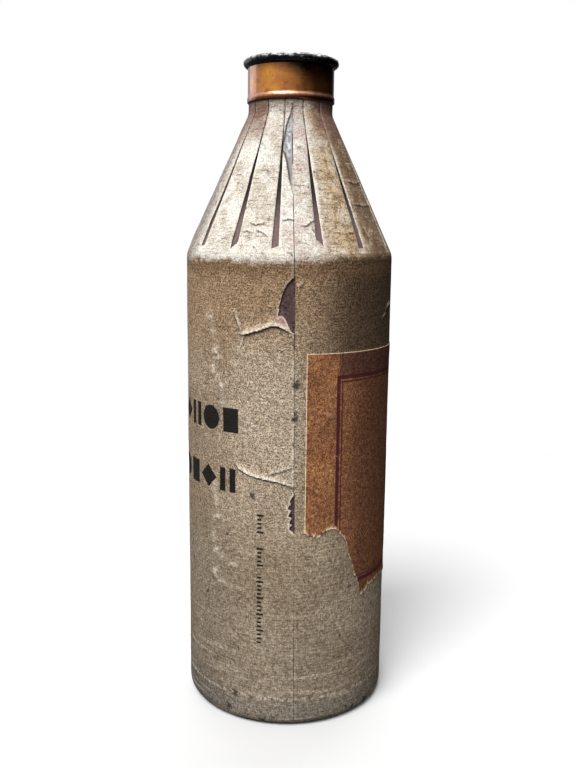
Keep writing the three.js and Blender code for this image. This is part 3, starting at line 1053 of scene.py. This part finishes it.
torn = label.data.attributes.new("torn", "FLOAT", "POINT")
for vertex in label.data.vertices:
    arc = radians(azimuth_of(vertex.co) % 360) * BODY_RADIUS
    above = vertex.co.z / MM - torn_height(min(LABEL_END - 0.01, max(LABEL_START, arc)))
    torn.data[vertex.index].value = max(0, 1 - above / 1.3)


def label_finish():
    """Stained orange-brown paper with a dark red double border, pale fibres where it tore, painted highlights
    along its cut top and left edges, and painted shade towards the right.
    """
    work = Finish("stained_label_paper")
    arc = work.azimuth * BODY_RADIUS
    height = work.height
    fine = work.speckle(0.55, detail=2, coarse=0.6)
    coarse = work.speckle(1.5, detail=2.5, coarse=0.6)
    clouds = work.speckle(14, detail=4, coarse=0.6)
    top_band = height.ramp(142.2, 143.4) * arc.ramp(19.4, 20.6)
    colour = work.coats(
        work.blend(clouds.ramp(0.36, 0.64), (0.222, 0.1, 0.044), (0.156, 0.066, 0.031)),
        # Painted shade towards the right.
        (arc.ramp(17, 34, 0.0, 0.85), (0.1, 0.042, 0.023)),
        (top_band * 0.7, (0.055, 0.022, 0.019)),
    )
    light = work.blend(fine.ramp(0.34, 0.66), (0.5, 0.44, 0.38), (1.66, 1.72, 1.72))
    shade = work.blend(coarse.ramp(0.36, 0.64), (0.75, 0.72, 0.7), (1.2, 1.2, 1.2))
    colour = work.blend(1.0, work.blend(1.0, colour, light, "MULTIPLY"), shade, "MULTIPLY")

    def frame_line(inset, half):
        """A rectangle of line, inset from the label's edges."""
        left = LABEL_START + 13 + inset
        right = LABEL_END - 13 - inset
        top = LABEL_TOP - 9.5 - inset
        bottom = LABEL_BOTTOM + 8.9 + inset
        across = abs(arc - (left + right) / 2)
        up = abs(height - (top + bottom) / 2)
        out = across - (right - left) / 2 | up - (top - bottom) / 2
        return out.near(0.0, half, 0.14)

    border = frame_line(0.0, 0.75) | frame_line(1.7, 0.26)
    scuffs = work.speckle(3.2, detail=3, coarse=0.55, place=work.stretched(0.6, 0.6, 1.6), warp=0.8)
    torn_fibres = work.painted("torn") * coarse.ramp(0.42, 0.6)
    # Painted highlights along the cut top and left edges.
    highlit_cut_edge = height.near(LABEL_TOP, 0.3, 0.12) | arc.near(LABEL_START, 0.3, 0.12)
    pale = torn_fibres | highlit_cut_edge * coarse.ramp(0.3, 0.5, 0.4, 1.0)
    colour = work.coats(
        colour,
        (border * fine.ramp(0.25, 0.5, 0.75, 1.0), (0.055, 0.01, 0.015)),
        (scuffs.ramp(0.64, 0.72) * arc.ramp(18, 26, 0.35, 0.1), (0.5, 0.3, 0.17)),
        (pale * 0.9, (0.72, 0.56, 0.38)),
    )
    bumps = work.relief(fine + coarse, 0.3, 0.7)
    return work.finish(colour, fine.ramp(0.3, 0.7, 0.8, 0.6), bumps, Specular_IOR_Level=0.12)


finish_piece(label, label_finish(), "bottle", "label_paper", "paper_label")

# ---- Base ----
# A pressed board pan pushed up into the tube and held by the curl, and a greaseproof dish lying in it.

PAN_RADIUS = 39.95
PAN_THICKNESS = 1.05
PAN_TOP = 12.2

pan_line = rounded_line([(0, 2.15, 0), (PAN_RADIUS, 2.15, 2.6), (PAN_RADIUS, PAN_TOP, 0)])
base_pan = turned_piece("base_board_pan", sheet_outline(pan_line, 0, PAN_THICKNESS))
finish_piece(base_pan, board, "bottle", "wound_board", "base_pan")


def greaseproof_finish():
    """Waxed paper: amber, faintly cloudy, with a soft shine."""
    work = Finish("greaseproof_paper")
    clouds = work.speckle(9, detail=4, coarse=0.6)
    colour = work.blend(clouds.ramp(0.35, 0.65), (0.42, 0.3, 0.15), (0.27, 0.17, 0.075))
    bumps = work.relief(clouds, 0.3, 0.4)
    return work.finish(colour, clouds.ramp(0.3, 0.7, 0.35, 0.55), bumps)


greaseproof = greaseproof_finish()
dish_line = rounded_line([(0, 3.35, 0), (38.2, 3.35, 2.2), (38.2, 9, 0)])
base_dish = turned_piece("base_greaseproof_dish", sheet_outline(dish_line, 0, 0.3))
finish_piece(base_dish, greaseproof, "bottle", "greaseproof_paper", "base_liner")

# ---- Liner ----
# A sleeve of greaseproof paper all the way up inside, which keeps the oil out of the board.

LINER_DEPTH = BOARD_DEPTH + BOARD_THICKNESS + 0.1
LINER_TOP = 252.0

end_radius = PAN_RADIUS - PAN_THICKNESS - 0.2
middle_radius = PAN_RADIUS - 0.1
sleeve = [
    Vector((end_radius, 5)),
    Vector((end_radius, PAN_TOP + 0.2)),
    Vector((middle_radius, PAN_TOP + 1.4)),
    Vector((middle_radius, SKIRT_BOTTOM - 1.4)),
    Vector((end_radius + 0.05, SKIRT_BOTTOM - 0.1)),
    Vector((end_radius + 0.05, 189)),
]
liner_line = sleeve + offset_line(between(outside, 192, LINER_TOP), LINER_DEPTH)
liner = turned_piece("greaseproof_sleeve", sheet_outline(liner_line, 0, 0.3))
finish_piece(liner, greaseproof, "bottle", "greaseproof_paper", "oilproof_liner")

# ---- Neck tube and lip ----
# A tin tube inside the neck, rolled outwards over the collar into a lip.
# The lip's lacquer is black and it is dented.

TIN = 0.3
HEIGHT = 264.0
LIP_RADIUS = 19.0
LIP_HEIGHT = 3.6
FERRULE_DEPTH = LINER_DEPTH + 0.4
BORE_RADIUS = NECK_RADIUS - FERRULE_DEPTH - TIN

curl_centre = Vector(((LIP_RADIUS + BORE_RADIUS) / 2, HEIGHT - LIP_HEIGHT / 2))
curl_reach = (LIP_RADIUS - BORE_RADIUS) / 2 - TIN
curl_rise = LIP_HEIGHT / 2 - TIN
curl_steps = 20
curl = []
for step in range(curl_steps + 1):
    angle = pi - radians(300) * step / curl_steps
    curl.append(curl_centre + Vector((curl_reach * cos(angle), curl_rise * sin(angle))))
ferrule_line = offset_line(between(outside, 239, 256), FERRULE_DEPTH) + curl
ferrule = turned_piece("neck_tube_and_lip", sheet_outline(ferrule_line, 0, TIN), columns=240)


def waver_round(azimuth, pace, x=0, z=0):
    """Noise that runs on without a break all the way round."""
    turn = radians(azimuth)
    return noise.noise(Vector((cos(turn), sin(turn), 0)) * pace + Vector((x, 0, z)))


for vertex in ferrule.data.vertices:
    azimuth, height, radius = place_of(vertex.co)
    outer = held((radius - BORE_RADIUS - 1.6) / 2)
    dent = waver_round(azimuth, 2.6, z=1) * 0.26
    crinkle = waver_round(azimuth, 9, z=height / 2) * 0.3
    nick = waver_round(azimuth, 24, z=height / 1.2) * 0.2
    shift = outer * (dent + crinkle + nick - 0.14)
    drop = outer * (waver_round(azimuth, 3.4, x=5) * 0.3 + crinkle * 0.9 + nick - 0.26)
    new_height = min(HEIGHT, height + (drop if height > 259.5 else 0))
    vertex.co = on_surface(azimuth, new_height, radius + shift)


def black_lacquer_finish():
    """Black lacquer over tin: glossy, pitted, rubbed through to dull metal here and there on the crest."""
    work = Finish("black_lacquered_tin")
    pits = work.speckle(1.6, detail=4, coarse=0.65)
    patches = work.speckle(5, detail=3, coarse=0.6)
    rubbed_and_highlit = (work.height + pits.ramp(0.3, 0.7, -0.5, 0.5)).ramp(262.2, 263.2)
    rubbed_and_highlit = rubbed_and_highlit * patches.ramp(0.34, 0.48) * abs(work.azimuth - 0.3).ramp(0.06, 0.14)
    bare_tin = work.blend(patches, (0.1, 0.1, 0.105), (0.34, 0.35, 0.37))
    colour = work.blend(rubbed_and_highlit, (0.005, 0.0048, 0.005), bare_tin)
    bumps = work.relief(pits * 0.4 + patches, 0.5, 0.45)
    roughness = pits.ramp(0.35, 0.65, 0.12, 0.3) + rubbed_and_highlit * 0.3
    return work.finish(colour, roughness, bumps, Metallic=rubbed_and_highlit, Specular_IOR_Level=0.2)


finish_piece(ferrule, black_lacquer_finish(), "bottle", "black_tin", "neck_ferrule")

# ---- Collar ----
# A band of tinplate under gold lacquer, slipped over the paper. Its lower edge is rolled into a bead.

COLLAR_BOTTOM = 246.9
COLLAR_RADIUS = 17.2
BEAD_RADIUS = 17.5
BEAD_HEIGHT = 1.8
BEAD_SLOPE = 0.9

collar_line = rounded_line(
    [
        (NECK_RADIUS + 0.15, COLLAR_BOTTOM, 0),
        (BEAD_RADIUS, COLLAR_BOTTOM, 0.45),
        (BEAD_RADIUS, COLLAR_BOTTOM + BEAD_HEIGHT, 0.9),
        (COLLAR_RADIUS, COLLAR_BOTTOM + BEAD_HEIGHT + BEAD_SLOPE, 0.3),
        (COLLAR_RADIUS, HEIGHT - LIP_HEIGHT - 0.3, 0),
    ],
    steps=5,
)
collar = turned_piece("gold_collar", sheet_outline(collar_line, 0, TIN), columns=240)

# The metal is a little out of true all round, most of all at the bead.
for vertex in collar.data.vertices:
    azimuth, height, radius = place_of(vertex.co)
    bead = exp(-(((height - COLLAR_BOTTOM - 1.8) / 1.2) ** 2))
    wobble = 0.05 * waver_round(azimuth, 3, z=height / 4)
    wobble += 0.06 * bead * waver_round(azimuth, 9, z=3)
    sag = 0.25 * bead * waver_round(azimuth, 4, z=8)
    vertex.co = on_surface(azimuth, height + sag, radius + wobble - 0.02)


def gold_lacquer_finish():
    """Tinplate seen through gold lacquer, pinkish-brown on the bead, with a painted shadow under the lip,
    painted shade towards the right and under the bead, and a pinkish painted reflection down the left side.
    """
    work = Finish("gold_lacquered_tin")
    clouds = work.speckle(7, detail=4, coarse=0.6)
    scratches = work.speckle(1.2, detail=3, coarse=0.6, place=work.stretched(0.35, 0.35, 1.6))
    arc = work.azimuth * COLLAR_RADIUS
    bead_top = COLLAR_BOTTOM + BEAD_HEIGHT
    # Painted shadow under the lip, reaching lower towards the right.
    top_shade = (work.height + clouds + arc.ramp(-7, 9, 0.0, 4.4)).ramp(256.8, 262.8)
    # A pinkish painted reflection down the left side.
    left_side = arc.ramp(-16, -12.5, 1.0, 0.0) * clouds.ramp(0.35, 0.6, 0.6, 0.95)
    # Painted shade towards the right side.
    dark_side = (arc + clouds * 2).ramp(7.6, 11.0)
    rolled = work.height.near(bead_top + 0.4, 0.9, 0.5)
    dirt = work.speckle(2.2, detail=3, coarse=0.6).ramp(0.56, 0.64)
    colour = work.coats(
        work.blend(clouds.ramp(0.35, 0.65), (0.84, 0.35, 0.06), (0.6, 0.22, 0.06)),
        (top_shade * 0.99, (0.006, 0.003, 0.002)),
        (left_side, (0.3, 0.17, 0.145)),
        (dark_side * 0.7, (0.09, 0.025, 0.014)),
        # Painted shade under the bead.
        (work.height.ramp(COLLAR_BOTTOM + 0.8, bead_top + 0.2, 0.95, 0.0), (0.1, 0.022, 0.008)),
        (rolled * 0.8, (0.44, 0.21, 0.14)),
        (dirt * 0.5, (0.22, 0.07, 0.03)),
    )
    bumps = work.relief(clouds + scratches * 0.1, 0.3, 0.3)
    roughness = scratches.ramp(0.35, 0.65, 0.15, 0.26) + rolled * 0.2
    return work.finish(colour, roughness, bumps, Metallic=0.9, Coat_Weight=0.3, Coat_Roughness=0.15)


finish_piece(collar, gold_lacquer_finish(), "bottle", "gold_lacquer", "neck_collar")

# ---- Lid ----
# A press-in lid of dull tinplate, sunk in the mouth, with a flange to prise it by
# and a ring of cork round its plug.

PLUG_RADIUS = 12.6
PLUG_BOTTOM = 255.2
FLANGE_RADIUS = 14.7
FLANGE_HEIGHT = 263.6
CORK_RADIUS = 13.95

lid_line = rounded_line(
    [
        (0, PLUG_BOTTOM + 0.8, 0),
        (8.4, PLUG_BOTTOM + 0.8, 0.5),
        (9.2, PLUG_BOTTOM, 0.4),
        (PLUG_RADIUS, PLUG_BOTTOM, 0.9),
        (PLUG_RADIUS, FLANGE_HEIGHT, 0.5),
        (FLANGE_RADIUS, FLANGE_HEIGHT, 0),
    ],
)
lid = turned_piece("press_in_lid", sheet_outline(lid_line, 0, TIN))


def tinplate_finish():
    """Dull tinplate with grey spangle and a little rust."""
    work = Finish("dull_tinplate")
    spangle = work.speckle(3, detail=3, coarse=0.6)
    rust = work.speckle(5, detail=5, coarse=0.7)
    colour = work.blend(spangle.ramp(0.4, 0.6), (0.22, 0.215, 0.205), (0.32, 0.315, 0.3))
    colour = work.blend(rust.ramp(0.58, 0.68, 0.0, 0.8), colour, (0.16, 0.07, 0.03))
    bumps = work.relief(spangle, 0.15, 0.4)
    return work.finish(colour, spangle.ramp(0.3, 0.7, 0.38, 0.55), bumps, Metallic=0.85)


finish_piece(lid, tinplate_finish(), "closure", "bright_tin", "closure_lid")

cork_line = [
    Vector((PLUG_RADIUS + 0.15, PLUG_BOTTOM + 1)),
    Vector((CORK_RADIUS, PLUG_BOTTOM + 1)),
    Vector((CORK_RADIUS, FLANGE_HEIGHT - 0.7)),
    Vector((PLUG_RADIUS + 0.15, FLANGE_HEIGHT - 0.7)),
]
cork_ring = turned_piece("cork_ring", cork_line)


def cork_finish():
    """Pressed cork: tan grains with dark pores."""
    work = Finish("pressed_cork")
    grains = work.speckle(1.4, detail=2, coarse=0.5)
    colour = work.blend(grains.ramp(0.38, 0.6), (0.14, 0.07, 0.03), (0.45, 0.28, 0.14))
    return work.finish(colour, grains.ramp(0.3, 0.7, 0.95, 0.8), work.relief(grains, 0.4, 0.7))


finish_piece(cork_ring, cork_finish(), "closure", "cork", "closure_seal")
